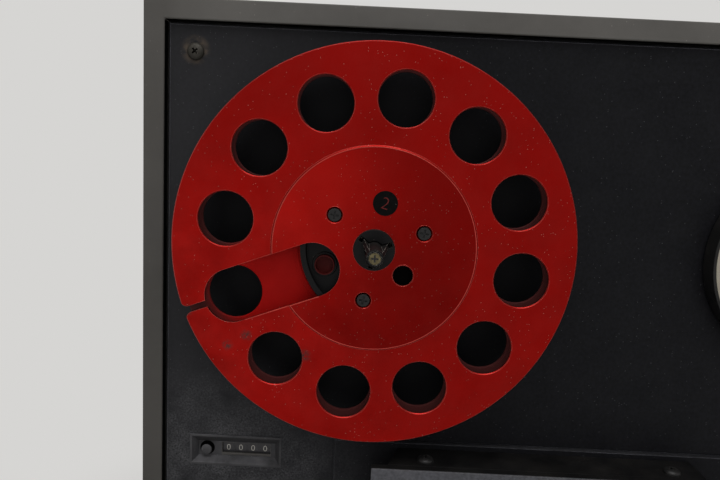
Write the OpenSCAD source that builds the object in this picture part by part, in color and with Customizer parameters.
// Upright open-reel tape deck with one empty metal reel on its left table.
// Millimetres: x runs to the right, y into the deck, z up from the floor.

/* [Cabinet] */
// Width over the side boards
cabinet_w = 416; // [400:1:440]
// Height of the cabinet without its feet
cabinet_h = 402; // [392:1:430]
// Depth of the boards
cabinet_d = 175; // [165:1:210]
// Thickness of the boards
board_t = 9.2; // [8:0.1:12]
// Width and depth of the wooden cleats inside
cleat_w = 12; // [8:1:14]
// Height of the feet
foot_h = 10; // [6:0.5:16]
// Radius of a foot
foot_r = 11; // [8:0.5:14]
// Distance of a foot's centre from the cabinet's edges
foot_inset = 28; // [20:1:40]
// Distance of the rear panel in from the boards' back edge
rear_inset = 12; // [11:0.5:16]
// Thickness of the rear panel
rear_t = 2; // [1.5:0.1:3]

/* [Front panels] */
// Depth of the panels behind the boards' front edge
panel_recess = 4; // [3:0.1:6]
// Thickness of the panels
panel_t = 2.5; // [2:0.1:3.5]
// Gap between a panel and what is round it
panel_gap = 1; // [0.5:0.1:2]
// Bevel on the panels' front edges
panel_bevel = 0.8; // [0.4:0.1:1.2]
// Width of the raised deck plate
deck_plate_w = 230; // [224:1:250]
// Height of the raised deck plate
deck_plate_h = 74; // [70:1:80]
// Thickness of the raised deck plate
deck_plate_t = 2; // [1.5:0.1:2.5]
// Distance from the reel axes down to the deck plate's top edge
deck_plate_drop = 97; // [95:0.5:102]
// Distance of a panel screw from the panel's sides
panel_screw_inset = 12.5; // [10:0.1:14]

/* [Screws] */
// Radius of a machine screw's head
screw_head_r = 3.9; // [3:0.1:4.5]
// Height of a machine screw's head
screw_head_h = 2.4; // [1.8:0.1:3]
// Radius of a machine screw's shank
screw_r = 2; // [1.5:0.1:2.5]
// Length of a machine screw's shank
screw_l = 10; // [8:0.5:12]

/* [Reel tables] */
// Distance between the two reel axes
spindle_spacing = 201; // [196:1:215]
// Distance from the cabinet's top down to the reel axes
spindle_drop = 106.3; // [100:0.1:112]
// Radius of a reel table
table_r = 46.5; // [42:0.5:52]
// Height of a reel table's plate in front of the panel
table_h = 11; // [9:0.5:14]
// Wall round a reel table's plate
table_rim_t = 1.4; // [1:0.1:2.5]
// Thickness of a reel table's plate
table_plate_t = 2; // [1:0.1:3]
// Radius of the reel motors' shafts
shaft_r = 3; // [2.5:0.1:3.4]
// Radius of a spindle
spindle_r = 3.7; // [3.5:0.1:3.9]
// Reach of a spindle in front of a reel's front flange
spindle_reach = 24.5; // [18:0.5:30]
// Radius over a spindle's three fins
fin_r = 6.4; // [5:0.1:7]
// Thickness of a spindle's fins
fin_t = 1.6; // [1:0.1:2.2]

/* [Reel] */
// Radius of the flanges
reel_r = 88.9; // [84:0.1:95]
// Thickness of a flange
flange_t = 1.5; // [1:0.1:2]
// Clear width between the flanges
winding_w = 7.75; // [6.5:0.05:9]
// Number of windows in a flange
window_count = 12; // [8:1:12]
// Radius of a window
window_r = 12.1; // [8:0.1:14]
// Distance of the windows from the axis
window_pitch_r = 66.2; // [62:0.1:70]
// Distance from the axis to the round end of the threading slot
slot_start = 28.4; // [26:0.1:34]
// Width of the slit from the slot to the rim
slit_w = 2.9; // [2:0.1:5]
// Rounding of the slit's lips
lip_r = 3; // [2:0.1:4]
// Radius of the raised middle of the front flange
raised_r = 45; // [42:0.5:48]
// Height of the raised middle
raised_h = 0.8; // [0.4:0.1:1]
// Bevel on the edges of the flanges
flange_bevel = 0.35; // [0.1:0.05:0.45]
// Radius of the hole in the middle of a flange
middle_r = 9.2; // [8.8:0.1:10]
// Radius of the hub
hub_r = 32.5; // [30:0.5:36]
// Wall of the hub
hub_wall = 2.5; // [2:0.1:4]
// Thickness of the hub's web
web_t = 2; // [1.5:0.1:3]
// Distance of the flange screws from the axis
flange_screw_pitch_r = 23; // [21:0.1:25]
// Radius of a flange screw's head
flange_screw_head_r = 3.3; // [2.8:0.1:3.6]
// Radius of a flange screw's shank
flange_screw_r = 1.5; // [1.2:0.1:2]
// Radius of the open peg hole
peg_hole_r = 4.5; // [3:0.1:4.6]
// Distance of the peg hole from the axis
peg_pitch_r = 17; // [16.5:0.1:18]
// Angle of the peg hole past the first flange screw
peg_angle = 300; // [290:1:310]
// Turn of the reel and of the spindles from the horizontal
reel_turn = 20.8; // [0:0.1:119]

/* [Tape path] */
// Width of the head cover
cover_w = 163; // [158:1:168]
// Offset of the head cover's middle from the deck's middle
head_x = -15.2; // [-20:0.1:-14]
// Distance from the reel axes down to the top of the head housing
head_drop = 100.1; // [100:0.1:106]
// Reach of the head cover in front of the panel
head_reach = 25; // [24.5:0.5:28]
// Height of the head cover
cover_h = 54; // [50:1:58]
// Thickness of the head cover's sheet
cover_t = 1.5; // [1:0.1:2]
// Depth of the head cover's folded edges
cover_fold = 5; // [4:0.5:6]
// Overhang of the head cover past the ends of the housing
cover_overhang = 7.6; // [6:0.1:9]
// Wall of the head housing
housing_t = 2; // [1.5:0.1:2.5]
// Slant of the housing's left end
housing_slant = 6; // [2:1:8]
// Width of a tape head
head_case_w = 14; // [10:0.5:18]
// Distance between the tape heads
head_pitch = 43; // [36:1:46]
// Offset of the capstan from the deck's middle
capstan_x = 82; // [81:0.5:86]
// Distance from the reel axes down to the capstan
capstan_drop = 131.7; // [128:0.1:134]
// Radius of the capstan
capstan_r = 3; // [2.5:0.1:3.5]
// Radius of the pinch roller
roller_r = 12; // [10:0.5:13]
// Width of the pinch roller
roller_w = 11; // [9:0.5:12]
// Swing of the pinch arm
pinch_swing = 9; // [4:0.5:10]
// Distance of a tension arm's pivot from the cabinet's side
tension_inset = 50; // [48:1:58]
// Length of a tension arm
tension_arm_l = 32; // [26:1:34]
// Radius of a tape guide
guide_r = 3.2; // [2.5:0.1:4]
// Radius of a tape guide's collars
guide_collar_r = 6; // [5:0.1:7]

/* [Drive] */
// Distance of the chassis plate behind the panels
chassis_gap = 33.5; // [33:0.5:40]
// Thickness of the chassis plate
chassis_t = 2; // [1.5:0.1:3]
// Radius of a reel motor
reel_motor_r = 38; // [32:1:42]
// Length of a reel motor
reel_motor_l = 62; // [50:1:70]
// Radius of the flywheel
flywheel_r = 42; // [38:1:45]
// Thickness of the flywheel
flywheel_t = 18; // [14:1:20]
// Radius of the capstan motor
capstan_motor_r = 28; // [24:1:30]
// Radius of the motor pulley under the belt
pulley_r = 8; // [6:0.5:9]
// Width of the belts
belt_w = 5; // [3:0.5:6]
// Thickness of the belts
belt_t = 1; // [0.6:0.1:1.4]

/* [Counter] */
// Width of the counter's bezel
bezel_w = 45.1; // [44:0.1:48]
// Height of the counter's bezel
bezel_h = 15.5; // [14:0.1:17]
// Distance of the bezel's middle from the panel's left edge
bezel_x = 34.6; // [33:0.1:42]
// Distance from the reel axes down to the bezel's middle
bezel_drop = 106.8; // [104:0.1:112]
// Distance between the number wheels
digit_pitch = 6.1; // [5.8:0.1:6.4]
// Radius of a number wheel
digit_wheel_r = 8; // [7:0.1:8.4]
// Radius of the reset button
reset_r = 2.9; // [2.2:0.1:3.2]

/* [Controls] */
// Width of a transport key
key_w = 22; // [18:0.5:22.5]
// Height of a transport key as a share of the control panel's height
key_share = 0.157; // [0.13:0.001:0.165]
// Distance between the transport keys
key_pitch = 24; // [23.5:0.5:26]
// Travel of the keys and buttons
key_travel = 3; // [2:0.5:4]
// Width of a meter's window
meter_w = 54; // [48:1:56]
// Height of a meter's window as a share of the control panel's height
meter_share = 0.387; // [0.33:0.001:0.42]
// Distance between the meters
meter_pitch = 62; // [61:1:66]
// Radius of a knob
knob_r = 14; // [11:0.5:16]
// Height of a knob
knob_h = 17; // [13:0.5:20]
// Distance between the knobs and between the jacks
knob_pitch = 38; // [36:1:40]
// Radius of the shafts of the level controls
knob_shaft_r = 3; // [2.5:0.1:3.2]
// Radius of a jack's bore
jack_r = 3.3; // [3.2:0.05:3.4]
// Radius of a line socket's pin
line_pin_r = 4.15; // [4.05:0.05:4.25]
// Length of a line socket's pin
line_pin_l = 9; // [8:0.5:10]

/* [Hidden] */
$fn = 64;

// Clearances: glued joint, running fit, seated fit and loose fit
glue_gap = 0.05;
run_gap = 0.05;
seat_gap = 0.1;
fit_gap = 0.3;

// Overrun of a cut, least overrun of a tapered cut, and overlap of shapes that make one solid
over = 1;
hair = 0.01;
fuse = 0.5;

// Heights of the cabinet and the panels
floor_z = foot_h + board_t;
top_z = foot_h + cabinet_h;
ceiling_z = top_z - board_t;
inner_w = cabinet_w - 2 * board_t;
panel_w = inner_w - 2 * panel_gap;
reel_z = top_z - spindle_drop;
reel_x = spindle_spacing / 2;
deck_plate_top = reel_z - deck_plate_drop;
deck_plate_z = deck_plate_top - deck_plate_h;
deck_plate_margin = 6;
control_top = deck_plate_z - deck_plate_margin;
control_z = floor_z + panel_gap;
control_h = control_top - control_z;
upper_z = control_top + panel_gap;
upper_top = ceiling_z - panel_gap;

// Depths from the boards' front edge
panel_front = panel_recess;
panel_back = panel_front + panel_t;
plate_front = panel_front - deck_plate_t;
chassis_front = panel_back + chassis_gap;
chassis_back = chassis_front + chassis_t;
rear_back = cabinet_d - rear_inset;
rear_front = rear_back - rear_t;

// Depths of the reel table and the reel
table_front = panel_front - table_h;
table_clear = 2;
table_back = panel_front - table_clear;
mat_front = table_front - fit_gap;
rear_flange_back = mat_front - seat_gap;
rear_flange_front = rear_flange_back - flange_t;
front_flange_back = rear_flange_front - winding_w;
front_flange_front = front_flange_back - flange_t;
raised_front = front_flange_front - raised_h;
nose_h = 1;
nose_front = raised_front - nose_h;
spindle_tip = front_flange_front - spindle_reach;
deck_centre = (cabinet_d + spindle_tip) / 2;

// Places of the screws that hold the two panels
screw_x = panel_w / 2 - panel_screw_inset;
panel_screw_rows = [upper_top - panel_screw_inset, upper_z + deck_plate_margin + screw_head_r,
    control_top - deck_plate_margin - screw_head_r, control_z + deck_plate_margin + screw_head_r];
rear_screw_x = inner_w / 2 - cleat_w / 2;
rear_screw_inset = 20;
rear_screw_rows = [floor_z + rear_screw_inset, (floor_z + ceiling_z) / 2, ceiling_z - rear_screw_inset];
post_r = 5;

// Head housing and its contents
tape_y = (rear_flange_front + front_flange_back) / 2;
tape_half = 3.5;
head_left = head_x - cover_w / 2 + cover_overhang;
head_right = head_x + cover_w / 2 - cover_overhang;
head_top = reel_z - head_drop;
cover_front = panel_front - head_reach;
cover_back = cover_front + cover_fold;
housing_wall_h = 31;
block_t = 3.5;
block_front = plate_front - block_t;
block_margin = 6;
block_top = head_top - 7;
head_case_h = 18;
head_case_top = block_top - 9;
head_bottom = head_case_top - head_case_h;
head_case_front = tape_y - tape_half - 2;
hood_screw_x = head_x + 1.9;
hood_screw_span = 115.8;
hood_screw_y = cover_back + 5.5;
lug_w = 10;

// Capstan, pinch roller and guides
collar_t = 1.5;
capstan_z = reel_z - capstan_drop;
bearing_r = 10;
pinch_reach = [25, -24];
pinch_pivot = [capstan_x, capstan_z] + pinch_reach;
pinch_arm_t = 3;
pinch_pin_r = 3;
pin_cap = 1.5;
pinch_pivot_boss_r = 7;
axle_r = 2.5;
roller_on = [capstan_x, capstan_z - capstan_r - roller_r - fit_gap / 2];
roller_off = turned(roller_on, pinch_pivot, pinch_swing);
arm_back = plate_front - fit_gap;
arm_front = arm_back - pinch_arm_t;
roller_back = tape_y + roller_w / 2;
roller_front = tape_y - roller_w / 2;
capstan_tip = roller_front - 3;
guide_front = tape_y - tape_half - collar_t;
guide_places = [[head_left - 17, capstan_z - 8], [capstan_x + 22, capstan_z - 2]];

// Tension arms
tension_z = capstan_z - 2;
tension_rest = 235;
tension_arm_t = 2;
tension_post_r = 3.5;
tension_cap_r = 5.5;
tension_x = cabinet_w / 2 - tension_inset;
tension_tube_r = 6;

// Capstan drive behind the chassis
flywheel_front = chassis_back + 4;
flywheel_back = flywheel_front + flywheel_t;
belt_y = (flywheel_front + flywheel_back) / 2 - belt_w / 2;
motor_offset = [-123, -14];
motor_place = [capstan_x, capstan_z] + motor_offset;
motor_gap = 34;
motor_front = chassis_back + motor_gap;
motor_l = 50;
motor_back = motor_front + motor_l;
motor_end = 8;
motor_shaft_r = 2;
standoff_r = 3.5;
standoff_pitch_r = 22;
pulley_lip = 1.5;

// Counter, measured from its bezel
counter_x = bezel_x - panel_w / 2;
counter_z = reel_z - bezel_drop;
bezel_front = panel_front - 0.4;
bezel_lip = 1;
bezel_depth = 4.4;
bezel_floor = bezel_front + bezel_depth;
bezel_floor_t = 1.5;
bezel_floor_w = bezel_w - 7;
bezel_floor_h = bezel_h - 8;
bezel_floor_drop = 1.1;
digit_x = counter_x + 4.6;
digit_z = counter_z - bezel_floor_drop;
digit_window_w = 4 * digit_pitch;
digit_window_h = 6.6;
digit_wheel_w = digit_pitch - 0.5;
digit_axle_r = 1.5;
digit_axle_y = bezel_floor + bezel_floor_t + fit_gap + digit_wheel_r;
cheek_t = 1.5;
cheek_gap = 2 * digit_pitch + fit_gap;
cheek_back = digit_axle_y + digit_wheel_r;
reset_offset = [-14.8, 0.2];
reset_x = counter_x + reset_offset[0];
reset_z = counter_z - bezel_floor_drop + reset_offset[1];
reset_tube_r = reset_r + 1.4;
reset_reach = 2.8;
reset_l = 14;
counter_pulley_place = [counter_x + 36, counter_z + 6];
counter_pulley_r = 8;
counter_pin_r = 2;
counter_belt_y = panel_back + 8;
pulley_gap = 0.5;

// Controls on the lower panel
key_count = 6;
key_h = control_h * key_share;
key_z = control_top - key_h;
key_gap = fit_gap;
key_bezel_margin = 3;
key_bezel_lip = 1;
key_bezel_w = key_count * key_pitch + 2 * key_bezel_margin;
key_bezel_h = key_h + 2 * key_bezel_margin;
key_bezel_front = panel_front - 1.5;
key_bezel_depth = 12;
key_front = key_bezel_front - key_travel - 3;
key_back = key_bezel_front + key_bezel_depth + 2;
key_bevel = 1;
power_w = 18;
power_h = 10;
power_z = control_z + control_h * 0.15;
meter_h = control_h * meter_share;
meter_z = control_z + control_h * 0.47;
meter_inset = 36;
meter_first_x = meter_inset - panel_w / 2;
power_x = meter_first_x;
meter_wall = 2;
meter_pane_t = 1.8;
meter_pane_front = panel_back - meter_pane_t;
meter_case_front = panel_back + seat_gap;
meter_dial = meter_case_front + 9;
meter_case_l = 28;
needle_drop = meter_h / 2 - 6;
needle_l = meter_h - 14;
needle_hub_r = 3;
needle_pin_r = 1;
needle_t = 0.8;
knob_last_x = panel_w / 2 - 22;
knob_z = control_z + control_h * 0.6;
knob_back = panel_front - 0.8;
knob_front = knob_back - knob_h;
pot_r = 8.5;
pot_bush_r = knob_shaft_r + 1.5;
pot_front = panel_back + seat_gap;
board_front = panel_back + 22;
board_thick = 1.6;
jack_z = control_z + control_h * 0.2;
jack_body_r = 8;
jack_bush_r = jack_r + 1.5;
jack_nut_r = jack_r + 4;
jack_nut_t = 2.2;
jack_l = 20;
jack_end = 2;
lever_z = control_z + control_h * 0.37;
lever_pivot_y = panel_back + 5;
lever_tilt = 12;
lever_r = 2.2;
lever_l = 24;
lever_pin_r = 1.2;
lever_slot_w = 6;
lever_slot_h = 18;
line_inset = 60;
line_rise = 50;
line_x = inner_w / 2 - line_inset;
line_z = control_z + line_rise;
line_pitch = 22;
line_collar_r = line_pin_r + 1.3;
line_body_l = 12;
inlet_inset = 70;
inlet_rise = 40;
inlet_x = inlet_inset - inner_w / 2;
inlet_z = control_z + inlet_rise;
inlet_w = 30;
inlet_h = 22;
inlet_wall = 3;
inlet_depth = 22;

// A point turned about a centre, in degrees
function turned(p, c, a) = [c[0] + (p[0] - c[0]) * cos(a) - (p[1] - c[1]) * sin(a),
    c[1] + (p[0] - c[0]) * sin(a) + (p[1] - c[1]) * cos(a)];
function digit_place(k) = digit_x + (k - 1.5) * digit_pitch;
function key_x(k) = (k - (key_count - 1) / 2) * key_pitch;
function knob_x(k) = knob_last_x - (2 - k) * knob_pitch;
function meter_x(k) = meter_first_x + k * meter_pitch;

// The whole deck stands with its middle over the origin
module placed() {
    translate([0, -deck_centre, 0]) children();
}

// A flat shape in x and z, given a depth from its front face
module slab(front, depth) {
    translate([0, front + depth, 0]) rotate([90, 0, 0]) linear_extrude(depth) children();
}

// A round bar along y
module rod(x, z, front, back, r) {
    translate([x, back, z]) rotate([90, 0, 0]) cylinder(h = back - front, r = r);
}

// A cone along y
module cone(x, z, front, back, front_r, back_r) {
    translate([x, back, z]) rotate([90, 0, 0]) cylinder(h = back - front, r1 = back_r, r2 = front_r);
}

// A box between two corners
module block(low, high) {
    translate(low) cube(high - low);
}

module rectangle(w, h, r) {
    square([w - 2 * r, h], center = true);
    square([w, h - 2 * r], center = true);
    for (x = [-1, 1], z = [-1, 1]) translate([x * (w / 2 - r), z * (h / 2 - r)]) circle(r);
}

// A panel about the origin with bevelled front edges
module bevelled_panel(w, h, front, depth, bevel) {
    difference() {
        slab(front, depth) square([w, h], center = true);
        for (s = [-1, 1]) {
            edge_bevel(s, w / 2, h, front, bevel);
            rotate([0, 90, 0]) edge_bevel(s, h / 2, w, front, bevel);
        }
    }
}

// What a bevel takes off one edge along z
module edge_bevel(s, half, length, front, bevel) {
    near = half - bevel - over;
    far = half + over;
    translate([0, 0, -length / 2 - over]) linear_extrude(length + 2 * over)
        polygon([[s * near, front - over], [s * far, front + bevel + over], [s * far, front - over]]);
}

// A funnel with flat sides, wide at the front, its back end lower by a drop
module funnel(front_size, back_size, drop, front, back) {
    ends = [[front_size, front, 0], [back_size, back, drop]];
    ring = [[-1, -1], [1, -1], [1, 1], [-1, 1]];
    corners = [for (e = ends, c = ring) [c[0] * e[0][0] / 2, e[1], c[1] * e[0][1] / 2 - e[2]]];
    sides = [[0, 1, 5, 4], [1, 2, 6, 5], [2, 3, 7, 6], [3, 0, 4, 7]];
    polyhedron(corners, concat([[3, 2, 1, 0], [4, 5, 6, 7]], sides));
}

// The flat outline of a belt round two pulleys, at a distance from them
module belt_outline(a, b, a_r, b_r, grow) {
    lean = acos((a_r - b_r) / norm(b - a));
    way = atan2(b[1] - a[1], b[0] - a[0]);
    step = 6;
    far = [for (k = [0 : floor(2 * lean / step)]) way + lean - k * step, way - lean];
    near = [for (k = [0 : floor((360 - 2 * lean) / step)]) way - lean - k * step, way + lean - 360];
    polygon(concat([for (t = far) b + (b_r + grow) * [cos(t), sin(t)]],
        [for (t = near) a + (a_r + grow) * [cos(t), sin(t)]]));
}

module belt(a, b, a_r, b_r, front) {
    slab(front, belt_w) difference() {
        belt_outline(a, b, a_r, b_r, fit_gap + belt_t);
        belt_outline(a, b, a_r, b_r, fit_gap);
    }
}

// A pulley with a lip on each side of its belt
module pulley(x, z, front, r) {
    rod(x, z, front - pulley_gap, front + belt_w + pulley_gap, r);
    for (y = [front - pulley_gap - pulley_lip, front + belt_w + pulley_gap])
        rod(x, z, y, y + pulley_lip, r + pulley_lip);
}

// A cross-shaped recess, open at the front
module cross_recess(front, back, half_l, w) {
    for (turn = [0, 90]) rotate([0, turn, 0])
        block([-half_l, front - over, -w / 2], [half_l, back, w / 2]);
}

// A cross-head screw seated at the origin, with its head towards the front
module machine_screw() {
    edge = screw_head_h / 3;
    crown_r = screw_head_r * 0.7;
    cross_l = screw_head_r * 0.55;
    cross_w = screw_head_r / 4;
    difference() {
        union() {
            rod(0, 0, -edge, 0, screw_head_r);
            cone(0, 0, -screw_head_h, -edge, crown_r, screw_head_r);
            rod(0, 0, -edge, screw_l, screw_r);
        }
        cross_recess(-screw_head_h, -edge, cross_l, cross_w);
    }
}

module panel_screw_places() {
    for (x = [-1, 1], z = panel_screw_rows) translate([x * screw_x, 0, z]) children();
}

module rear_screw_places() {
    for (x = [-1, 1], z = rear_screw_rows) translate([x * rear_screw_x, 0, z]) children();
}

module hood_screw_places() {
    for (x = [-1, 1]) translate([hood_screw_x + x * hood_screw_span / 2, hood_screw_y, 0]) children();
}

module line_socket_places() {
    for (x = [-1, 1], z = [-1, 1])
        translate([line_x + x * line_pitch / 2, 0, line_z + z * line_pitch / 2]) children();
}

module cabinet() {
    half = cabinet_w / 2;
    inner = inner_w / 2;
    color([0.3, 0.29, 0.28]) placed() {
        block([-half, 0, ceiling_z], [half, cabinet_d, top_z]);
        block([-half, 0, foot_h], [half, cabinet_d, floor_z]);
        for (side = [0, 1]) mirror([side, 0, 0]) {
            block([inner, 0, floor_z + glue_gap], [half, cabinet_d, ceiling_z - glue_gap]);
            block([inner - cleat_w, chassis_back + seat_gap, floor_z + fit_gap],
                [inner - glue_gap, chassis_back + cleat_w, ceiling_z - fit_gap]);
            difference() {
                block([inner - cleat_w, rear_front - seat_gap - cleat_w, floor_z + fit_gap],
                    [inner - glue_gap, rear_front - seat_gap, ceiling_z - fit_gap]);
                rear_screw_places() rod(0, 0, rear_back - screw_l - over, rear_back, screw_r + run_gap);
            }
        }
    }
}

module rear_panel() {
    vent_count = 9;
    vent_w = 110;
    vent_h = 4;
    vent_pitch = 10;
    vent_x = 80;
    vent_drop = 40;
    color([0.13, 0.13, 0.13]) placed() difference() {
        block([-inner_w / 2 + fit_gap, rear_front, floor_z + fit_gap],
            [inner_w / 2 - fit_gap, rear_back, ceiling_z - fit_gap]);
        rear_screw_places() rod(0, 0, rear_front - over, rear_back + over, screw_r + seat_gap);
        slab(rear_front - over, rear_t + 2 * over) {
            for (x = [-1, 1], k = [0 : vent_count - 1])
                translate([x * vent_x, reel_z - vent_drop + k * vent_pitch])
                    rectangle(vent_w, vent_h, vent_h / 2 - hair);
            translate([inlet_x, inlet_z]) square([inlet_w + fit_gap, inlet_h + fit_gap], center = true);
        }
        line_socket_places() rod(0, 0, rear_front - over, rear_back + over, line_collar_r + seat_gap);
    }
}

module feet() {
    y_places = [foot_inset, cabinet_d - foot_inset];
    taper = 1.5;
    color([0.08, 0.08, 0.08]) placed() for (x = [-1, 1], y = y_places)
        translate([x * (cabinet_w / 2 - foot_inset), y, 0])
            cylinder(h = foot_h, r1 = foot_r - taper, r2 = foot_r);
}

module front_panel() {
    h = upper_top - upper_z;
    window_inset = 12;
    color([0.14, 0.14, 0.15]) placed() difference() {
        translate([0, 0, (upper_top + upper_z) / 2])
            bevelled_panel(panel_w, h, panel_front, panel_t, panel_bevel);
        panel_screw_places() rod(0, 0, panel_front - over, panel_back + over, screw_r + seat_gap);
        for (x = [-1, 1]) {
            rod(x * reel_x, reel_z, panel_front - over, panel_back + over, bearing_r);
            rod(x * tension_x, tension_z, panel_front - over, panel_back + over, shaft_r + fit_gap);
        }
        slab(panel_front - over, panel_t + 2 * over) {
            translate([0, (deck_plate_z + deck_plate_top) / 2])
                square([deck_plate_w - 2 * window_inset, deck_plate_h - 2 * window_inset], center = true);
            translate([counter_x, counter_z])
                square([bezel_w, bezel_h] - 2 * (bezel_lip - seat_gap) * [1, 1], center = true);
        }
    }
}

module deck_plate() {
    pin_front = arm_front - fit_gap - collar_t;
    color([0.13, 0.13, 0.14]) placed() {
        difference() {
            translate([0, 0, (deck_plate_z + deck_plate_top) / 2])
                bevelled_panel(deck_plate_w, deck_plate_h, plate_front, deck_plate_t, panel_bevel);
            rod(capstan_x, capstan_z, plate_front - over, panel_front + over, capstan_r + fit_gap);
        }
        rod(pinch_pivot[0], pinch_pivot[1], pin_front, plate_front + fuse, pinch_pin_r);
        rod(pinch_pivot[0], pinch_pivot[1], pin_front, pin_front + collar_t, pinch_pin_r + pin_cap);
    }
}

module control_panel() {
    h = control_top - control_z;
    cheek_x = lever_slot_w / 2 + fit_gap;
    cheek_w = 1.8;
    cheek_half = 5;
    color([0.14, 0.14, 0.15]) placed() {
        difference() {
            translate([0, 0, (control_top + control_z) / 2])
                bevelled_panel(panel_w, h, panel_front, panel_t, panel_bevel);
            panel_screw_places() rod(0, 0, panel_front - over, panel_back + over, screw_r + seat_gap);
            for (k = [0 : 2]) {
                rod(knob_x(k), knob_z, panel_front - over, panel_back + over, pot_bush_r + seat_gap);
                rod(knob_x(k), jack_z, panel_front - over, panel_back + over, jack_bush_r + seat_gap);
            }
            slab(panel_front - over, panel_t + 2 * over) {
                for (k = [0, 1]) translate([meter_x(k), meter_z])
                    square([meter_w + 2 * fit_gap, meter_h + 2 * fit_gap], center = true);
                translate([0, key_z])
                    square([key_bezel_w, key_bezel_h] - 2 * key_bezel_lip * [1, 1], center = true);
                translate([power_x, power_z])
                    square([power_w + 2 * key_gap, power_h + 2 * key_gap], center = true);
                translate([0, lever_z]) rectangle(lever_slot_w, lever_slot_h, lever_slot_w / 2 - hair);
            }
        }
        for (s = [0, 1]) mirror([s, 0, 0])
            block([cheek_x, panel_back - fuse, lever_z - cheek_half],
                [cheek_x + cheek_w, lever_pivot_y + cheek_half, lever_z + cheek_half]);
        translate([-cheek_x - fuse, lever_pivot_y, lever_z]) rotate([0, 90, 0])
            cylinder(h = 2 * (cheek_x + fuse), r = lever_pin_r);
    }
}

module screws() {
    color([0.2, 0.2, 0.2]) placed() {
        translate([0, panel_front, 0]) panel_screw_places() machine_screw();
        translate([0, 0, head_top]) hood_screw_places() rotate([-90, 0, 0]) machine_screw();
        translate([0, rear_back, 0]) rear_screw_places() rotate([0, 0, 180]) machine_screw();
    }
}

module chassis() {
    pin_collar = 2;
    tube_end = 3;
    pulley_back = counter_belt_y + belt_w + pulley_gap + pulley_lip;
    color([0.55, 0.56, 0.55]) placed() difference() {
        union() {
            block([-inner_w / 2 + fit_gap, chassis_front, floor_z + fit_gap],
                [inner_w / 2 - fit_gap, chassis_back, ceiling_z - fit_gap]);
            panel_screw_places() rod(0, 0, panel_back, chassis_front + fuse, post_r);
            rod(capstan_x, capstan_z, panel_front + seat_gap, chassis_front + fuse, bearing_r);
            for (x = [-1, 1])
                rod(x * tension_x, tension_z, panel_back, chassis_front + fuse, tension_tube_r);
            rod(counter_pulley_place[0], counter_pulley_place[1],
                counter_belt_y - pulley_gap - pulley_lip, chassis_front + fuse, counter_pin_r);
            rod(counter_pulley_place[0], counter_pulley_place[1],
                pulley_back + fit_gap, chassis_front + fuse, counter_pin_r + pin_collar);
        }
        panel_screw_places()
            rod(0, 0, panel_back - over, panel_back + screw_l + over, screw_r + run_gap);
        rod(capstan_x, capstan_z, panel_front - over, chassis_back + over, capstan_r + run_gap);
        for (x = [-1, 1]) {
            rod(x * tension_x, tension_z, panel_back - over, chassis_front - tube_end, shaft_r + run_gap);
            rod(x * reel_x, reel_z, chassis_front - over, chassis_back + over, bearing_r + seat_gap);
        }
    }
}

module reel_motors() {
    nose_l = 16;
    end_t = 6;
    end_r = 12.5;
    back = chassis_back + reel_motor_l;
    color([0.62, 0.62, 0.6]) placed() for (x = [-1, 1]) difference() {
        union() {
            rod(x * reel_x, reel_z, chassis_back, back, reel_motor_r);
            rod(x * reel_x, reel_z, chassis_front - nose_l, chassis_back + fuse, bearing_r);
            rod(x * reel_x, reel_z, back - fuse, back + end_t, end_r);
        }
        rod(x * reel_x, reel_z, chassis_front - nose_l - over, back, shaft_r + run_gap);
    }
}

module capstan_motor() {
    nose_l = 6;
    nose_r = 7;
    color([0.6, 0.6, 0.6]) placed() difference() {
        union() {
            rod(motor_place[0], motor_place[1], motor_front, motor_front + motor_l, capstan_motor_r);
            rod(motor_place[0], motor_place[1], motor_front - nose_l, motor_front + fuse, nose_r);
            for (a = [100, 180, 260])
                translate(standoff_pitch_r * [cos(a), 0, sin(a)])
                    rod(motor_place[0], motor_place[1], chassis_back, motor_front + fuse, standoff_r);
        }
        rod(motor_place[0], motor_place[1], motor_front - nose_l - over, motor_back - motor_end,
            motor_shaft_r + run_gap);
    }
}

module drive_belt() {
    color([0.06, 0.06, 0.06]) placed()
        belt([capstan_x, capstan_z], motor_place, flywheel_r, pulley_r, belt_y);
}

module head_block() {
    lug_root = 2;
    color([0.45, 0.45, 0.44]) placed() {
        block([head_left + housing_slant + block_margin, block_front, head_bottom - block_margin],
            [head_right - block_margin, plate_front, block_top]);
        difference() {
            hood_screw_places() block([-lug_w / 2, -lug_w / 2, block_top - lug_root],
                [lug_w / 2, block_front + fuse - hood_screw_y, head_top - housing_t - seat_gap]);
            hood_screw_places() translate([0, 0, head_top - screw_l - over])
                cylinder(h = screw_l + over, r = screw_r + run_gap);
        }
    }
}

module tape_heads() {
    face_r = head_case_w / 2 + 2;
    gap_half = 0.4;
    gap_h = 0.6;
    color([0.7, 0.68, 0.62]) placed() for (k = [-1 : 1]) translate([head_x + k * head_pitch, 0, 0]) {
        difference() {
            intersection() {
                block([-head_case_w / 2, head_case_front, head_bottom],
                    [head_case_w / 2, block_front, head_case_top]);
                union() {
                    rod(0, head_bottom + face_r, head_case_front - over, block_front + over, face_r);
                    block([-head_case_w, head_case_front - over, head_bottom + face_r],
                        [head_case_w, block_front + over, head_case_top + over]);
                }
            }
            block([-gap_half, head_case_front - over, head_bottom - over],
                [gap_half, block_front + over, head_bottom + gap_h]);
        }
    }
}

module head_housing() {
    color([0.07, 0.07, 0.07]) placed() difference() {
        union() {
            translate([0, 0, head_top - housing_t]) linear_extrude(housing_t) housing_outline(0);
            translate([0, 0, head_top - housing_wall_h]) linear_extrude(housing_wall_h) difference() {
                housing_outline(0);
                housing_outline(housing_t);
            }
        }
        hood_screw_places() translate([0, 0, head_top - housing_t - over])
            cylinder(h = housing_t + 2 * over, r = screw_r + seat_gap);
    }
}

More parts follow.
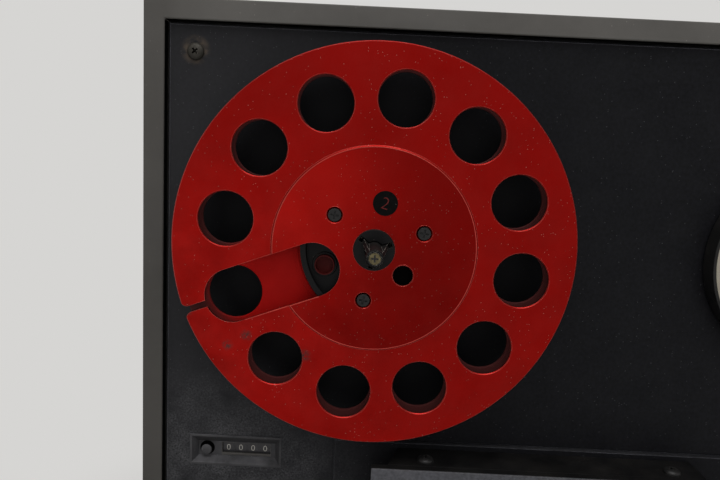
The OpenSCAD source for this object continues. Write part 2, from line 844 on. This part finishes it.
// Plan of the hood in x and y: open at the front and at the back, slanted at the left
module housing_outline(inset) {
    ends = inset > 0 ? over : 0;
    slope = housing_slant / (plate_front - cover_back);
    left = head_left + inset - ends * slope;
    left_back = head_left + housing_slant + inset + ends * slope;
    polygon([[left, cover_back - ends], [head_right - inset, cover_back - ends],
        [head_right - inset, plate_front + ends], [left_back, plate_front + ends]]);
}

module head_cover() {
    half = cover_w / 2;
    color([0.27, 0.27, 0.28]) placed() difference() {
        block([head_x - half, cover_front, head_top - cover_h], [head_x + half, cover_back, head_top]);
        block([head_x - half + cover_t, cover_front + cover_t, head_top - cover_h - over],
            [head_x + half - cover_t, cover_back + over, head_top - cover_t]);
        block([head_x - half - over, cover_front + cover_t, head_top - cover_h - over],
            [head_x + half + over, cover_back + over, head_top - housing_wall_h]);
    }
}

// A post along y with a collar on each side of the tape
module tape_post(x, z, back, r, collar_r) {
    rod(x, z, guide_front, back, r);
    for (y = [guide_front, tape_y + tape_half]) rod(x, z, y, y + collar_t, collar_r);
}

module tape_guides() {
    color([0.75, 0.75, 0.74]) placed() for (p = guide_places)
        tape_post(p[0], p[1], plate_front, guide_r, guide_collar_r);
}

module counter_bezel() {
    body_back = bezel_floor + bezel_floor_t;
    inner = [bezel_w, bezel_h] - 2 * bezel_lip * [1, 1];
    tube_back = bezel_floor + reset_l - reset_reach - over;
    color([0.16, 0.16, 0.16]) placed() {
        difference() {
            union() {
                translate([counter_x, 0, counter_z]) {
                    slab(bezel_front, panel_front - bezel_front) square([bezel_w, bezel_h], center = true);
                    slab(bezel_front, body_back - bezel_front) square(inner, center = true);
                }
                rod(reset_x, reset_z, bezel_floor, tube_back, reset_tube_r);
            }
            translate([counter_x, 0, counter_z])
                funnel(inner, [bezel_floor_w, bezel_floor_h], bezel_floor_drop, bezel_front - hair,
                    bezel_floor);
            translate([digit_x, 0, digit_z]) slab(bezel_floor - over, bezel_floor_t + 2 * over)
                square([digit_window_w, digit_window_h], center = true);
            rod(reset_x, reset_z, bezel_front, bezel_floor + reset_l, reset_r + run_gap);
        }
        for (s = [-1, 1]) translate([digit_x + s * (cheek_gap + cheek_t / 2), 0, 0])
            block([-cheek_t / 2, body_back - fuse, counter_z - inner[1] / 2],
                [cheek_t / 2, cheek_back, counter_z + inner[1] / 2]);
        translate([digit_x - cheek_gap - cheek_t / 2, digit_axle_y, digit_z]) rotate([0, 90, 0])
            cylinder(h = 2 * cheek_gap + cheek_t, r = digit_axle_r);
    }
}

module counter_belt() {
    r = counter_pulley_r;
    color([0.06, 0.06, 0.06]) placed() belt([-reel_x, reel_z], counter_pulley_place, r, r, counter_belt_y);
}

module meter_cases() {
    pin_front = meter_dial - 6;
    color([0.85, 0.83, 0.75]) placed() for (k = [0, 1]) translate([meter_x(k), 0, meter_z]) {
        difference() {
            slab(meter_case_front, meter_case_l)
                square([meter_w + 2 * meter_wall, meter_h + 2 * meter_wall], center = true);
            slab(meter_case_front - over, meter_dial - meter_case_front + over)
                square([meter_w - meter_wall, meter_h - meter_wall], center = true);
        }
        rod(0, -needle_drop, pin_front, meter_dial + fuse, needle_pin_r);
    }
}

module meter_windows() {
    color([0.8, 0.85, 0.85]) placed() for (k = [0, 1]) translate([meter_x(k), 0, meter_z])
        slab(meter_pane_front, meter_pane_t) square([meter_w, meter_h], center = true);
}

module phone_jack() {
    nut_front = panel_front - jack_nut_t;
    difference() {
        union() {
            rod(0, 0, nut_front, panel_back + fuse, jack_bush_r);
            slab(nut_front, jack_nut_t) circle(jack_nut_r, $fn = 6);
            rod(0, 0, panel_back, panel_front + jack_l, jack_body_r);
        }
        rod(0, 0, nut_front - over, panel_front + jack_l - jack_end, jack_r);
    }
}

module line_socket() {
    flange = 2;
    bore_r = 1.75;
    difference() {
        union() {
            rod(0, 0, rear_front - fuse, rear_back + line_pin_l, line_pin_r);
            rod(0, 0, rear_front - fuse, rear_back, line_collar_r);
            rod(0, 0, rear_front - line_body_l, rear_front, line_collar_r + flange);
        }
        rod(0, 0, rear_back, rear_back + line_pin_l + over, bore_r);
    }
}

module mains_inlet() {
    flange = 3;
    flange_depth = 2;
    corner_r = 3;
    contact_x = 5;
    contact_r = 1.6;
    contact_inset = 9;
    front = rear_back - inlet_depth;
    difference() {
        union() {
            slab(front, inlet_depth) square([inlet_w, inlet_h], center = true);
            slab(rear_front - flange_depth, flange_depth)
                square([inlet_w + 2 * flange, inlet_h + 2 * flange], center = true);
        }
        slab(front + inlet_wall, inlet_depth)
            rectangle(inlet_w - 2 * inlet_wall, inlet_h - 2 * inlet_wall, corner_r);
    }
    for (x = [-1, 1])
        rod(x * contact_x, 0, front + inlet_wall - fuse, rear_back - contact_inset, contact_r);
}

module sockets() {
    color([0.6, 0.6, 0.58]) placed() {
        for (k = [0 : 2]) translate([knob_x(k), 0, jack_z]) phone_jack();
        line_socket_places() line_socket();
        translate([inlet_x, 0, inlet_z]) mains_inlet();
    }
}

module power_transformer() {
    w = 70;
    d = 62;
    core_h = 58;
    coil_w = 46;
    coil_h = 44;
    bulge = 9;
    wiring_room = 4;
    back = rear_back - inlet_depth - bulge - wiring_room;
    low = (core_h - coil_h) / 2;
    color([0.36, 0.3, 0.22]) placed() translate([inlet_x, 0, floor_z]) {
        block([-w / 2, back - d, 0], [w / 2, back, core_h]);
        block([-coil_w / 2, back - d - bulge, low], [coil_w / 2, back + bulge, low + coil_h]);
    }
}

module amplifier_board() {
    left_margin = 20;
    right_margin = 12;
    upper_margin = 24;
    left = knob_x(0) - left_margin;
    right = knob_x(2) + right_margin;
    low = jack_z;
    high = knob_z + upper_margin;
    back = board_front + board_thick;
    bush_front = panel_front - 2;
    can_x = -10;
    can_z = low + 14;
    can_r = 5;
    can_back = chassis_front - 2;
    pot_wall = 2;
    color([0.2, 0.32, 0.2]) placed() difference() {
        union() {
            block([left, board_front, low], [right, back, high]);
            for (k = [0 : 2]) {
                rod(knob_x(k), knob_z, pot_front, board_front + fuse, pot_r);
                rod(knob_x(k), knob_z, bush_front, pot_front + fuse, pot_bush_r);
                rod(knob_x(k) + can_x, can_z, back - fuse, can_back, can_r);
            }
        }
        for (k = [0 : 2])
            rod(knob_x(k), knob_z, bush_front - over, board_front - pot_wall, knob_shaft_r + run_gap);
    }
}

module key_bezel() {
    bevel = 0.6;
    body = [key_bezel_w, key_bezel_h] - 2 * (key_bezel_lip + fit_gap) * [1, 1];
    color([0.2, 0.2, 0.2]) placed() translate([0, 0, key_z]) difference() {
        union() {
            bevelled_panel(key_bezel_w, key_bezel_h, key_bezel_front, panel_front - key_bezel_front, bevel);
            slab(panel_front - fuse, key_bezel_front + key_bezel_depth - panel_front + fuse)
                square(body, center = true);
        }
        for (k = [0 : key_count - 1]) translate([key_x(k), 0, 0])
            slab(key_bezel_front - over, key_bezel_depth + 2 * over)
                square([key_w + 2 * key_gap, key_h + 2 * key_gap], center = true);
    }
}

// A turntable of a reel: a rimmed dish on the motor shaft
module reel_table(x) {
    dish_r = table_r - 2.5;
    boss_r = 10;
    plate_back = table_front + table_plate_t;
    top_wall = 2;
    placed() difference() {
        rod(x, reel_z, mat_front, table_back, table_r);
        rod(x, reel_z, mat_front - over, plate_back, table_r - table_rim_t);
        difference() {
            rod(x, reel_z, plate_back + top_wall, table_back + over, dish_r);
            rod(x, reel_z, plate_back, table_back + 2 * over, boss_r);
        }
        rod(x, reel_z, mat_front - over, table_back + over, shaft_r + run_gap);
    }
}

module table_plate(x) {
    ring_r = table_r - table_rim_t - seat_gap;
    placed() difference() {
        rod(x, reel_z, table_front, table_front + table_plate_t - glue_gap, ring_r);
        rod(x, reel_z, table_front - over, table_front + table_plate_t, spindle_r + seat_gap);
    }
}

// A finned spindle with a screw in its tip, on the end of a motor shaft
module spindle(x) {
    screw_seat = 1.4;
    tip_screw_r = 2.45;
    tip_thread_r = 1.2;
    shaft_end = 4;
    fin_shoulder = raised_front - 1;
    fin_end = spindle_tip + 2;
    fin_tip_r = spindle_r - 0.2;
    bevel = 0.5;
    tapped_l = 10;
    screw_drop = 0.15;
    cross_l = 1.5;
    cross_w = 0.7;
    cross_depth = 0.8;
    cross_turn = 20;
    translate([x, 0, reel_z]) rotate([0, -reel_turn, 0]) {
        difference() {
            union() {
                rod(0, 0, table_front, chassis_back + reel_motor_l - shaft_end, shaft_r);
                rod(0, 0, spindle_tip + bevel, table_front + table_plate_t - seat_gap, spindle_r);
                cone(0, 0, spindle_tip, spindle_tip + bevel, spindle_r - bevel, spindle_r);
                for (a = [0, 120, 240])
                    rotate([0, -a, 0]) translate([0, 0, -fin_t / 2]) linear_extrude(fin_t)
                        polygon([[0, table_front - seat_gap], [fin_r, table_front - seat_gap],
                        [fin_r, fin_shoulder], [fin_tip_r, fin_end], [0, fin_end]]);
            }
            rod(0, 0, spindle_tip - over, spindle_tip + screw_seat, tip_screw_r + seat_gap);
            rod(0, 0, spindle_tip, spindle_tip + tapped_l, tip_thread_r + run_gap);
        }
        difference() {
            union() {
                rod(0, 0, spindle_tip + screw_drop, spindle_tip + screw_seat - glue_gap, tip_screw_r);
                rod(0, 0, spindle_tip + screw_seat / 2, spindle_tip + tapped_l - over, tip_thread_r);
            }
            rotate([0, cross_turn, 0])
                cross_recess(spindle_tip, spindle_tip + cross_depth, cross_l, cross_w);
        }
    }
}

module left_reel_table() { color([0.1, 0.1, 0.1]) reel_table(-reel_x); }
module right_reel_table() { color([0.1, 0.1, 0.1]) reel_table(reel_x); }
module left_table_plate() { color([0.8, 0.78, 0.72]) table_plate(-reel_x); }
module right_table_plate() { color([0.8, 0.78, 0.72]) table_plate(reel_x); }
module right_spindle() { color([0.15, 0.15, 0.15]) placed() spindle(reel_x); }

// The left shaft also turns the counter
module left_spindle() {
    color([0.15, 0.15, 0.15]) placed() {
        spindle(-reel_x);
        difference() {
            pulley(-reel_x, reel_z, counter_belt_y, counter_pulley_r);
            rod(-reel_x, reel_z, panel_front, chassis_front, shaft_r - fuse);
        }
    }
}

// Places a piece of the reel about its axis, turned with the spindle
module on_reel() {
    placed() translate([-reel_x, 0, reel_z]) rotate([0, -reel_turn, 0]) children();
}

module window_places(first) {
    for (k = [first : window_count - 1]) {
        a = 180 + k * 360 / window_count;
        translate([window_pitch_r * cos(a), 0, window_pitch_r * sin(a)]) children();
    }
}

module flange_window(front) {
    rod(0, 0, front - over, front + flange_t + over, window_r);
    back = front + flange_t;
    cone(0, 0, front - hair, front + flange_bevel, window_r + flange_bevel, window_r);
    cone(0, 0, back - flange_bevel, back + hair, window_r, window_r + flange_bevel);
}

module flange_disc(front) {
    cone(0, 0, front, front + flange_bevel, reel_r - flange_bevel, reel_r);
    rod(0, 0, front + flange_bevel, front + flange_t - flange_bevel, reel_r);
    cone(0, 0, front + flange_t - flange_bevel, front + flange_t, reel_r, reel_r - flange_bevel);
}

module flange_screw_places() {
    for (a = [0, 120, 240]) translate(flange_screw_pitch_r * [cos(a), 0, sin(a)]) children();
}

module hub_boss_places() {
    for (a = [60, 180, 300]) translate(flange_screw_pitch_r * [cos(a), 0, sin(a)]) children();
}

// The slot that the tape's end is threaded through, open to the rim
module threading_slot() {
    translate([-slot_start, 0]) circle(window_r);
    translate([-window_pitch_r, 0]) circle(window_r);
    translate([-window_pitch_r, -window_r]) square([window_pitch_r - slot_start, 2 * window_r]);
    translate([-reel_r - over, -slit_w / 2]) square([reel_r - window_pitch_r, slit_w]);
    for (s = [-1, 1]) difference() {
        translate([-reel_r - over, s * (slit_w + lip_r) / 2])
            square([2 * (lip_r + over), lip_r], center = true);
        translate([-reel_r + lip_r, s * (slit_w / 2 + lip_r)]) circle(lip_r);
        translate([lip_r - reel_r, -reel_r]) square(2 * reel_r);
    }
}

module reel_front_flange() {
    countersink = flange_screw_head_r - flange_screw_r;
    sink_gap = 0.4;
    color([0.5, 0.06, 0.05]) on_reel() difference() {
        union() {
            flange_disc(front_flange_front);
            cone(0, 0, raised_front, front_flange_front + hair, raised_r - raised_h / 2,
                raised_r + raised_h / 2);
        }
        rod(0, 0, raised_front + flange_t, front_flange_back + over, raised_r - flange_t);
        window_places(1) flange_window(front_flange_front);
        slab(raised_front - over, raised_h + flange_t + 2 * over) threading_slot();
        rod(0, 0, raised_front - over, front_flange_back + over, middle_r);
        rotate([0, -peg_angle, 0])
            rod(peg_pitch_r, 0, raised_front - over, front_flange_back + over, peg_hole_r);
        flange_screw_places() {
            rod(0, 0, raised_front - over, front_flange_back + over, flange_screw_r + seat_gap);
            cone(0, 0, raised_front - hair, raised_front + countersink, flange_screw_head_r + sink_gap,
                flange_screw_r + sink_gap);
        }
    }
}

module reel_rear_flange() {
    color([0.45, 0.05, 0.04]) on_reel() difference() {
        flange_disc(rear_flange_front);
        window_places(0) flange_window(rear_flange_front);
        rod(0, 0, rear_flange_front - over, rear_flange_back + over, middle_r);
        flange_screw_places()
            rod(0, 0, rear_flange_front - over, rear_flange_back + over, flange_screw_r + seat_gap);
    }
}

module reel_hub() {
    front = raised_front + flange_t;
    web_front = (front + rear_flange_front) / 2;
    pillar_r = 5;
    boss_r = 5.5;
    boss_wall = 1.1;
    sink = flange_screw_head_r - flange_screw_r - flange_t;
    sink_r = flange_screw_r + seat_gap;
    keyway_r = fin_r + 1.7;
    keyway_w = fin_t + 2 * fit_gap;
    color([0.08, 0.08, 0.08]) on_reel() difference() {
        union() {
            difference() {
                rod(0, 0, front, rear_flange_front, hub_r);
                rod(0, 0, front - over, rear_flange_front + over, hub_r - hub_wall);
            }
            rod(0, 0, web_front, web_front + web_t, hub_r - hub_wall / 2);
            rod(0, 0, nose_front, rear_flange_back, middle_r - seat_gap);
            flange_screw_places() rod(0, 0, front, rear_flange_front, pillar_r);
            hub_boss_places() rod(0, 0, web_front - over, rear_flange_front, boss_r);
        }
        rod(0, 0, nose_front - over, rear_flange_back + over, spindle_r + fit_gap);
        for (a = [0, 120, 240]) rotate([0, -a, 0])
            block([0, nose_front - over, -keyway_w / 2], [keyway_r, rear_flange_back + over, keyway_w / 2]);
        hub_boss_places() rod(0, 0, web_front - 2 * over, rear_flange_front + over, boss_r - boss_wall);
        flange_screw_places() {
            rod(0, 0, front - over, rear_flange_front + over, flange_screw_r + run_gap);
            cone(0, 0, front - seat_gap, front + sink + seat_gap, sink_r + sink + seat_gap,
                sink_r - seat_gap);
        }
    }
}

module reel_screws() {
    head_h = flange_screw_head_r - flange_screw_r;
    drop = 0.1;
    cross_l = flange_screw_head_r * 0.55;
    cross_w = 0.8;
    cross_turn = 30;
    front = raised_front + drop;
    color([0.1, 0.1, 0.1]) on_reel() flange_screw_places() difference() {
        union() {
            cone(0, 0, front, raised_front + head_h, flange_screw_head_r, flange_screw_r);
            rod(0, 0, front + drop, rear_flange_back - fit_gap, flange_screw_r);
        }
        rotate([0, cross_turn, 0]) cross_recess(front, front + head_h / 2, cross_l, cross_w);
    }
}

module flywheel() {
    rim_t = 9;
    boss_r = 11;
    dish = flywheel_t / 3;
    color([0.5, 0.5, 0.5]) placed() difference() {
        union() {
            rod(capstan_x, capstan_z, flywheel_front, flywheel_back, flywheel_r);
            rod(capstan_x, capstan_z, chassis_back + fit_gap, flywheel_front + over, boss_r);
        }
        difference() {
            rod(capstan_x, capstan_z, flywheel_back - dish, flywheel_back + over, flywheel_r - rim_t);
            rod(capstan_x, capstan_z, flywheel_front, flywheel_back + 2 * over, boss_r);
        }
        rod(capstan_x, capstan_z, chassis_back - over, flywheel_back + over, capstan_r + run_gap / 2);
    }
}

module capstan_shaft() {
    bevel = 0.6;
    tail = 3;
    color([0.85, 0.85, 0.85]) placed() {
        rod(capstan_x, capstan_z, capstan_tip + bevel, flywheel_back + tail, capstan_r);
        cone(capstan_x, capstan_z, capstan_tip, capstan_tip + bevel, capstan_r - bevel, capstan_r);
    }
}

module motor_pulley() {
    shaft_reach = 4;
    color([0.75, 0.62, 0.3]) placed() {
        pulley(motor_place[0], motor_place[1], belt_y, pulley_r);
        rod(motor_place[0], motor_place[1], belt_y - shaft_reach, motor_back - motor_end - 2 * over,
            motor_shaft_r);
    }
}

module pinch_arm() {
    bar_w = 8;
    axle_boss_r = pinch_pivot_boss_r - 1;
    axle_cap = 2;
    axle_front = roller_front - fit_gap - collar_t;
    color([0.35, 0.35, 0.35]) placed() {
        difference() {
            slab(arm_front, pinch_arm_t) {
                translate(pinch_pivot) circle(pinch_pivot_boss_r);
                translate(roller_off) circle(axle_boss_r);
                arm_bar(pinch_pivot, roller_off, bar_w);
            }
            rod(pinch_pivot[0], pinch_pivot[1], arm_front - over, arm_back + over, pinch_pin_r + run_gap);
        }
        rod(roller_off[0], roller_off[1], axle_front, arm_back - fuse, axle_r);
        rod(roller_off[0], roller_off[1], axle_front, axle_front + collar_t, axle_r + axle_cap);
        rod(roller_off[0], roller_off[1], roller_back + fit_gap, arm_back - fuse, axle_r + axle_cap);
    }
}

// A flat bar between two points
module arm_bar(a, b, w) {
    way = atan2(b[1] - a[1], b[0] - a[0]);
    translate(a) rotate([0, 0, way]) translate([0, -w / 2]) square([norm(b - a), w]);
}

module pinch_roller() {
    bevel = 0.8;
    front = roller_front;
    back = roller_back;
    color([0.1, 0.1, 0.1]) placed() translate([roller_off[0], 0, roller_off[1]]) difference() {
        union() {
            cone(0, 0, front, front + bevel, roller_r - bevel, roller_r);
            rod(0, 0, front + bevel, back - bevel, roller_r);
            cone(0, 0, back - bevel, back, roller_r, roller_r - bevel);
        }
        rod(0, 0, front - over, back + over, axle_r + run_gap);
    }
}

// A swinging arm with a tape post, drawn for the left side
module tension_arm() {
    back = panel_front - fit_gap;
    front = back - tension_arm_t;
    pivot = [-tension_x, tension_z];
    post = pivot + tension_arm_l * [cos(tension_rest), sin(tension_rest)];
    bar_w = 8;
    boss_r = 7;
    shaft_end = 5;
    placed() {
        slab(front, tension_arm_t) {
            translate(pivot) circle(boss_r);
            translate(post) circle(tension_cap_r);
            arm_bar(pivot, post, bar_w);
        }
        rod(pivot[0], pivot[1], front, chassis_front - shaft_end, shaft_r);
        tape_post(post[0], post[1], back, tension_post_r, tension_cap_r);
    }
}

module left_tension_arm() { color([0.7, 0.7, 0.7]) tension_arm(); }
module right_tension_arm() { color([0.7, 0.7, 0.7]) mirror([1, 0, 0]) tension_arm(); }

// A number wheel of the counter, from 0 at the left
module digit_wheel(k) {
    side = digit_place(k) - digit_wheel_w / 2;
    color([0.12, 0.12, 0.12]) placed() translate([side, digit_axle_y, digit_z]) rotate([0, 90, 0])
        difference() {
            cylinder(h = digit_wheel_w, r = digit_wheel_r);
            translate([0, 0, -over]) cylinder(h = digit_wheel_w + 2 * over, r = digit_axle_r + run_gap);
        }
}

module counter_thousands() { digit_wheel(0); }
module counter_hundreds() { digit_wheel(1); }
module counter_tens() { digit_wheel(2); }
module counter_units() { digit_wheel(3); }

module counter_pulley() {
    color([0.85, 0.83, 0.78]) placed() difference() {
        pulley(counter_pulley_place[0], counter_pulley_place[1], counter_belt_y, counter_pulley_r);
        rod(counter_pulley_place[0], counter_pulley_place[1], panel_front, chassis_front,
            counter_pin_r + run_gap);
    }
}

module reset_button() {
    front = bezel_floor - reset_reach;
    bevel = 0.5;
    color([0.05, 0.05, 0.05]) placed() {
        cone(reset_x, reset_z, front, front + bevel, reset_r - bevel, reset_r);
        rod(reset_x, reset_z, front + bevel, front + reset_l, reset_r);
    }
}

// A transport key, from 0 at the left
module transport_key(k) {
    placed() translate([key_x(k), 0, key_z])
        bevelled_panel(key_w, key_h, key_front, key_back - key_front, key_bevel);
}

module rewind_key() { color([0.75, 0.74, 0.72]) transport_key(0); }
module fast_forward_key() { color([0.75, 0.74, 0.72]) transport_key(1); }
module play_key() { color([0.75, 0.74, 0.72]) transport_key(2); }
module pause_key() { color([0.75, 0.74, 0.72]) transport_key(3); }
module stop_key() { color([0.75, 0.74, 0.72]) transport_key(4); }
module record_key() { color([0.6, 0.1, 0.08]) transport_key(5); }

module power_button() {
    reach = 2;
    stem = 10;
    front = panel_front - key_travel - reach;
    color([0.75, 0.74, 0.72]) placed() translate([power_x, 0, power_z])
        bevelled_panel(power_w, power_h, front, panel_back + stem - front, key_bevel);
}

module speed_lever() {
    tip_r = lever_r + 0.8;
    hub_w = lever_slot_w - 2 * fit_gap;
    hub_r = lever_r + 1;
    color([0.75, 0.75, 0.74]) placed() translate([0, lever_pivot_y, lever_z]) rotate([lever_tilt, 0, 0])
        difference() {
            union() {
                cone(0, 0, -lever_l, 0, tip_r, lever_r);
                translate([0, -lever_l, 0]) sphere(tip_r);
                translate([-hub_w / 2, 0, 0]) rotate([0, 90, 0]) cylinder(h = hub_w, r = hub_r);
            }
            translate([-hub_w, 0, 0]) rotate([0, 90, 0]) cylinder(h = 2 * hub_w, r = lever_pin_r + run_gap);
        }
}

module knob(x) {
    bevel = 1;
    skirt_r = knob_r + 2;
    skirt_h = 4;
    recess_h = knob_h / 3;
    recess_gap = 3;
    mark_w = 1.2;
    mark_depth = 0.8;
    mark_start = knob_z + knob_r * 0.3;
    shaft_end = 3;
    placed() {
        difference() {
            union() {
                cone(x, knob_z, knob_front, knob_front + bevel, knob_r - bevel, knob_r);
                rod(x, knob_z, knob_front + bevel, knob_back, knob_r);
                cone(x, knob_z, knob_back - skirt_h, knob_back, knob_r, skirt_r);
            }
            rod(x, knob_z, knob_back - recess_h, knob_back + over, pot_bush_r + recess_gap);
            block([x - mark_w / 2, knob_front - over, mark_start],
                [x + mark_w / 2, knob_front + mark_depth, knob_z + knob_r]);
        }
        rod(x, knob_z, knob_front + knob_h / 2, board_front - shaft_end, knob_shaft_r);
    }
}

module left_level_knob() { color([0.6, 0.6, 0.6]) knob(knob_x(0)); }
module right_level_knob() { color([0.6, 0.6, 0.6]) knob(knob_x(1)); }
module output_knob() { color([0.6, 0.6, 0.6]) knob(knob_x(2)); }

// A meter's pointer, resting at the left end of its scale
module needle(k) {
    back = meter_dial - fit_gap;
    front = back - 3;
    needle_w = 1;
    tail = needle_hub_r + 1;
    rest_angle = -45;
    placed() translate([meter_x(k), 0, meter_z - needle_drop]) rotate([0, rest_angle, 0]) difference() {
        union() {
            rod(0, 0, front, back, needle_hub_r);
            slab(front, needle_t) translate([-needle_w / 2, -tail]) square([needle_w, needle_l + tail]);
        }
        rod(0, 0, front - over, back + over, needle_pin_r + run_gap);
    }
}

module left_needle() { color([0.08, 0.08, 0.08]) needle(0); }
module right_needle() { color([0.08, 0.08, 0.08]) needle(1); }

cabinet();
rear_panel();
feet();
front_panel();
deck_plate();
control_panel();
screws();
chassis();
reel_motors();
capstan_motor();
drive_belt();
head_block();
tape_heads();
head_housing();
head_cover();
tape_guides();
counter_bezel();
counter_belt();
meter_cases();
meter_windows();
sockets();
power_transformer();
amplifier_board();
key_bezel();
left_reel_table();
left_table_plate();
left_spindle();
right_reel_table();
right_table_plate();
right_spindle();
reel_front_flange();
reel_rear_flange();
reel_hub();
reel_screws();
flywheel();
capstan_shaft();
motor_pulley();
pinch_arm();
pinch_roller();
left_tension_arm();
right_tension_arm();
counter_units();
counter_tens();
counter_hundreds();
counter_thousands();
counter_pulley();
reset_button();
rewind_key();
fast_forward_key();
play_key();
pause_key();
stop_key();
record_key();
power_button();
speed_lever();
left_level_knob();
right_level_knob();
output_knob();
left_needle();
right_needle();
